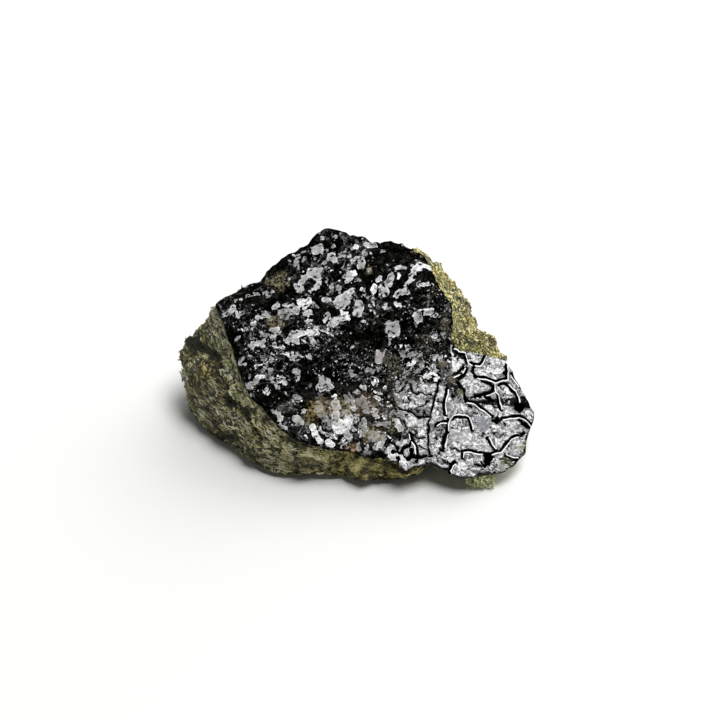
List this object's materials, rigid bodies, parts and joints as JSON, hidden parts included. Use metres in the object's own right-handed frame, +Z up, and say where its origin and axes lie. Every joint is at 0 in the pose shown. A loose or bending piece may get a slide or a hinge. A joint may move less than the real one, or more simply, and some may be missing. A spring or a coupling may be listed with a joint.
{
  "type": "martian meteorite",
  "caption": "Small broken stone chip with a glossy black fusion crust over its tilted top, a net of raised folds on its low lobe, and olive crystalline sides.",
  "frame": {"origin": "under the middle of the chip, on the surface that it rests on", "axes": "+X along the chip's longest extent, towards its low lobe; +Y towards its high back edge; +Z up"},
  "size_m": [0.0152, 0.0098, 0.0066],
  "materials": {
    "stone": "glossy black glass crust over dull olive crystalline rock"
  },
  "bodies": {
    "root": {"meteorite": "stone"}
  },
  "joints": []
}
